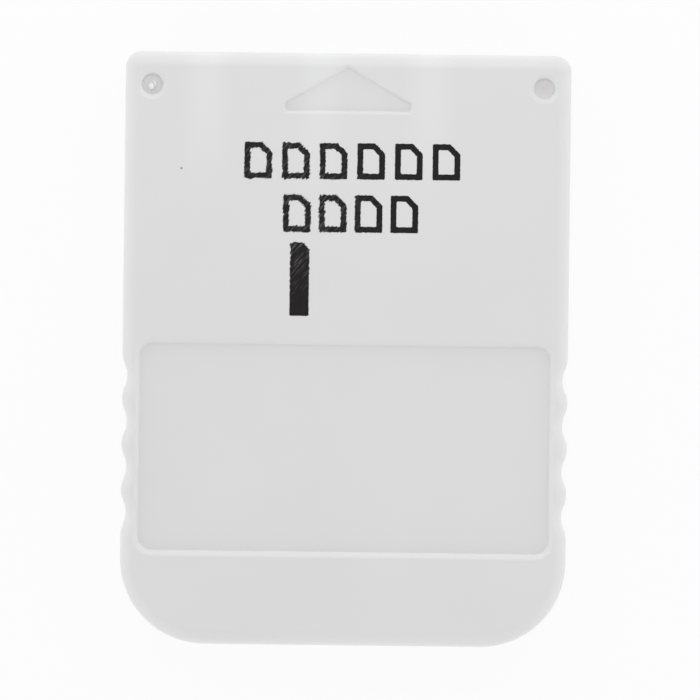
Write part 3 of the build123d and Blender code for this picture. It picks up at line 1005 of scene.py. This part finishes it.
@dataclass(frozen=True)
class PrintedMarks:
    """The print on the front face: two rows of small card outlines and one solid bar."""

    rows: tuple[PrintedRow, ...] = (
        PrintedRow(
            "printed_upper_row", Motif.CELL, (-9.7, 16.0), (10.6, 19.4), count=6, width=2.6, clip=0.95
        ),
        PrintedRow(
            "printed_lower_row", Motif.CELL, (-6.0, 11.0), (6.7, 14.5), count=4, width=2.6, clip=0.95
        ),
        PrintedRow("printed_bar", Motif.BAR, (-5.3, 3.1), (-3.5, 10.0), count=1, width=1.8, clip=0.6),
    )
    ink: PrintedInk = PrintedInk()
    ink_mm: float = 0.012  # thickness that stands on the face
    bite_mm: float = 0.005  # depth to which it is sunk into the face
    step_mm: float = 0.04  # between the points of an outline
    corner_mm: float = 0.12
    corner_steps: int = 4
    weld_mm: float = 0.0001  # points nearer than this become one
    tooth_mm: float = 0.2  # how far the worn edge is frayed
    tooth_bounds: tuple[float, float] = (0.25, 0.75)  # of the noise, for a tooth inwards and outwards
    tooth_detail: float = 1.5
    hatch_mm: float = 0.13  # size of the teeth across the slant
    run_mm: float = 2.5  # and along it
    sound_share: float = 0.2  # of the fraying where the print is sound
    seed: float = 7.0

    def build(self) -> None:
        """Prints every row."""
        tree = self.ink_tree()
        for row in self.rows:
            self.print_row(row, tree)

    def print_row(self, row: PrintedRow, tree: bpy.types.NodeTree) -> None:
        """Prints one row.

        Args:
            row: the row.
            tree: the node tree that turns outlines into ink.
        """
        mesh = bpy.data.meshes.new(row.name)
        corners, edges = [], []
        for loop in row.loops():
            first = len(corners)
            corners += [Vector((x, y, 0.0)) * MM for x, y in loop]
            edges += [(first + i, first + (i + 1) % len(loop)) for i in range(len(loop))]
        mesh.from_pydata(corners, edges, [])
        piece = bpy.data.objects.new(row.name, mesh)
        bpy.context.scene.collection.objects.link(piece)
        modifier = piece.modifiers.new("ink", "NODES")
        modifier.node_group = tree
        sockets = {s.name: s.identifier for s in tree.interface.items_tree if s.in_out == "INPUT"}
        worn_x, worn_y, _ = self.ink.worn_spot_mm
        worn, sound = self.ink.worn_reach_mm
        values = {
            "Count": row.count,
            "Pitch": row.pitch() * MM,
            "Underside": CAD_BOX[1].z - self.bite_mm * MM,
            "Thickness": (self.ink_mm + self.bite_mm) * MM,
            "Step": self.step_mm * MM,
            "Corner": self.corner_mm * MM,
            "Tooth": self.tooth_mm * MM,
            "Hatch": self.hatch_mm * MM,
            "Run": self.run_mm * MM,
            "Worn spot": Vector((worn_x, worn_y, 0.0)) * MM,
            "Worn within": worn * MM,
            "Sound beyond": sound * MM,
            "Sound share": self.sound_share,
            "Seed": self.seed,
            "Ink": self.ink.material(),
        }
        for name, value in values.items():
            modifier[sockets[name]] = value
        bpy.context.view_layer.update()
        shown = piece.evaluated_get(bpy.context.evaluated_depsgraph_get())
        printed = bpy.data.meshes.new_from_object(shown)
        piece.modifiers.clear()
        piece.data = printed
        settle(piece)

    def ink_tree(self) -> bpy.types.NodeTree:
        """Builds the node tree that repeats outlines along X, frays them along a slant and fills them.

        Returns:
            The tree, with a named input for each size.
        """
        tree = bpy.data.node_groups.new("ink_row", "GeometryNodeTree")
        inputs = {
            "NodeSocketGeometry": ("Outline",),
            "NodeSocketInt": ("Count",),
            "NodeSocketVector": ("Worn spot",),
            "NodeSocketMaterial": ("Ink",),
            "NodeSocketFloat": (
                *("Pitch", "Underside", "Thickness", "Step", "Corner", "Tooth", "Hatch", "Run"),
                *("Worn within", "Sound beyond", "Sound share", "Seed"),
            ),
        }
        for kind, names in inputs.items():
            for name in names:
                tree.interface.new_socket(name, in_out="INPUT", socket_type=kind)
        tree.interface.new_socket("Print", in_out="OUTPUT", socket_type="NodeSocketGeometry")
        given = add_node(tree, "NodeGroupInput").outputs
        curve = add_node(tree, "GeometryNodeMeshToCurve", {"Mesh": given["Outline"]})
        rounded = add_node(
            tree,
            "GeometryNodeFilletCurve",
            {
                "Curve": curve.outputs[0],
                "Count": self.corner_steps,
                "Radius": given["Corner"],
                "Limit Radius": True,
            },
            mode="POLY",
        )
        fine = add_node(
            tree,
            "GeometryNodeResampleCurve",
            {"Curve": rounded.outputs[0], "Length": given["Step"]},
            mode="LENGTH",
        )
        stride = add_node(tree, "ShaderNodeCombineXYZ", {"X": given["Pitch"]})
        places = add_node(
            tree,
            "GeometryNodeMeshLine",
            {"Count": given["Count"], "Offset": stride.outputs[0]},
            mode="OFFSET",
        )
        copies = add_node(
            tree, "GeometryNodeInstanceOnPoints", {"Points": places.outputs[0], "Instance": fine.outputs[0]}
        )
        row = add_node(tree, "GeometryNodeRealizeInstances", {"Geometry": copies.outputs[0]})
        frayed = add_node(
            tree,
            "GeometryNodeSetPosition",
            {"Geometry": row.outputs[0], "Offset": self.fraying(tree, given)},
        )
        filled = add_node(
            tree, "GeometryNodeFillCurve", {"Curve": frayed.outputs[0]}, mode="TRIANGLES"
        )
        raised = add_node(
            tree,
            "GeometryNodeExtrudeMesh",
            {
                "Mesh": filled.outputs[0],
                "Offset": (0.0, 0.0, 1.0),
                "Offset Scale": given["Thickness"],
                "Individual": False,
            },
            mode="FACES",
        )
        underside = add_node(tree, "GeometryNodeFlipFaces", {"Mesh": filled.outputs[0]})
        both = add_node(tree, "GeometryNodeJoinGeometry", {"Geometry": raised.outputs[0]})
        tree.links.new(underside.outputs[0], both.inputs[0])
        closed = add_node(
            tree, "GeometryNodeMergeByDistance", {"Geometry": both.outputs[0], "Distance": self.weld_mm * MM}
        )
        lift = add_node(tree, "ShaderNodeCombineXYZ", {"Z": given["Underside"]})
        lifted = add_node(
            tree, "GeometryNodeSetPosition", {"Geometry": closed.outputs[0], "Offset": lift.outputs[0]}
        )
        whole = add_node(tree, "GeometryNodeRealizeInstances", {"Geometry": lifted.outputs[0]})
        inked = add_node(
            tree, "GeometryNodeSetMaterial", {"Geometry": whole.outputs[0], "Material": given["Ink"]}
        )
        add_node(tree, "NodeGroupOutput", {"Print": inked.outputs[0]})
        return tree

    def fraying(self, tree: bpy.types.NodeTree, given: bpy.types.NodeOutputs) -> bpy.types.NodeSocket:
        """Works out how far each point of an outline is pushed along the slant of the printing passes.

        Args:
            tree: the tree that gets the nodes.
            given: the tree's named inputs.

        Returns:
            The offset's socket.
        """
        slant = math.radians(self.ink.slant_deg)
        along = (math.cos(slant), math.sin(slant), 0.0)
        across = (-math.sin(slant), math.cos(slant), 0.0)
        place = add_node(tree, "GeometryNodeInputPosition").outputs[0]
        lanes = []
        for direction, size in ((across, given["Hatch"]), (along, given["Run"])):
            reach = add_node(
                tree, "ShaderNodeVectorMath", {0: place, 1: direction}, operation="DOT_PRODUCT"
            )
            lanes.append(
                add_node(tree, "ShaderNodeMath", {0: reach.outputs["Value"], 1: size}, operation="DIVIDE")
            )
        spot = add_node(
            tree,
            "ShaderNodeCombineXYZ",
            {"X": lanes[0].outputs[0], "Y": lanes[1].outputs[0], "Z": given["Seed"]},
        )
        wander = add_node(
            tree,
            "ShaderNodeTexNoise",
            {"Vector": spot.outputs[0], "Scale": 1.0, "Detail": self.tooth_detail},
        )
        inwards, outwards = self.tooth_bounds
        centred = add_node(
            tree,
            "ShaderNodeMapRange",
            {
                "Value": wander.outputs[0],
                "From Min": inwards,
                "From Max": outwards,
                "To Min": -1.0,
                "To Max": 1.0,
            },
        )
        away = add_node(
            tree, "ShaderNodeVectorMath", {0: place, 1: given["Worn spot"]}, operation="DISTANCE"
        )
        wear = add_node(
            tree,
            "ShaderNodeMapRange",
            {
                "Value": away.outputs["Value"],
                "From Min": given["Worn within"],
                "From Max": given["Sound beyond"],
                "To Min": 1.0,
                "To Max": given["Sound share"],
            },
        )
        depth = add_node(
            tree, "ShaderNodeMath", {0: wear.outputs[0], 1: given["Tooth"]}, operation="MULTIPLY"
        )
        push = add_node(
            tree, "ShaderNodeMath", {0: centred.outputs[0], 1: depth.outputs[0]}, operation="MULTIPLY"
        )
        return add_node(
            tree, "ShaderNodeVectorMath", {0: along, "Scale": push.outputs[0]}, operation="SCALE"
        ).outputs[0]


@dataclass(frozen=True)
class BoardAssembly:
    """The circuit board, its contacts, chips and small parts."""

    band_share: float = 0.22  # of the reservoir's length, for the stripe at its positive end

    def build(self) -> None:
        """Dresses every node of the board by the record's slots."""
        finishes = self.finishes()
        for part in frame["record"]["subparts"]:
            slot = Slot(part["material_slot"])
            if slot in finishes:
                dress(part["node"], finishes[slot])

    def finishes(self) -> dict[Slot, Finish]:
        """Chooses the finishes.

        Returns:
            The finish of each slot on the board.
        """
        low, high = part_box("reservoir_capacitor_body")
        band = (low.x / MM, (low.x + (high.x - low.x) * self.band_share) / MM)
        return {
            Slot.BOARD: SolderResist(),
            Slot.CONTACT: GoldPlate(),
            # Transfer-moulded epoxy: dull black with a faint mottle
            Slot.CHIP: GrainedSolid(
                "black_epoxy_moulded", "232325", "19191b", roughness=(0.45, 0.6), grain_mm=0.2
            ),
            # Hot-dipped tin: silvery and uneven, with soft ripples
            Slot.TIN: GrainedSolid(
                "tin_hot_dipped",
                "d0d0ca",
                "b4b4ae",
                roughness=(0.22, 0.4),
                grain_mm=0.5,
                grain_depth_mm=0.01,
                metallic=1.0,
            ),
            # Fired ceramic under a thin brown lacquer
            Slot.RESONATOR: GrainedSolid(
                "brown_ceramic_lacquered", "80593c", "6b4a31", roughness=(0.35, 0.5), grain_mm=0.3
            ),
            # Moulded epoxy case with a darker stripe at its positive end
            Slot.RESERVOIR: GrainedSolid(
                "yellow_epoxy_moulded",
                "deaa41",
                "d09a33",
                roughness=(0.4, 0.55),
                grain_mm=0.3,
                band_mm=band,
                band="7a4a1c",
            ),
            # Bare fired ceramic: chalky tan
            Slot.CAPACITOR: GrainedSolid(
                "tan_ceramic_fired", "b19672", "a1855f", roughness=(0.55, 0.7), grain_mm=0.2
            ),
            # Glass glaze over a black resistive film
            Slot.RESISTOR: GrainedSolid(
                "black_glaze_fired",
                "323234",
                "2a2a2c",
                roughness=(0.12, 0.22),
                grain_mm=0.3,
                grain_depth_mm=0.003,
            ),
        }


def main() -> None:
    """Builds the studio and dresses the card, piece by piece."""
    logging.basicConfig(level=logging.INFO, format="%(message)s")
    Studio().build()
    Housing().build()
    PrintedMarks().build()
    BoardAssembly().build()


if __name__ == "__main__":
    main()
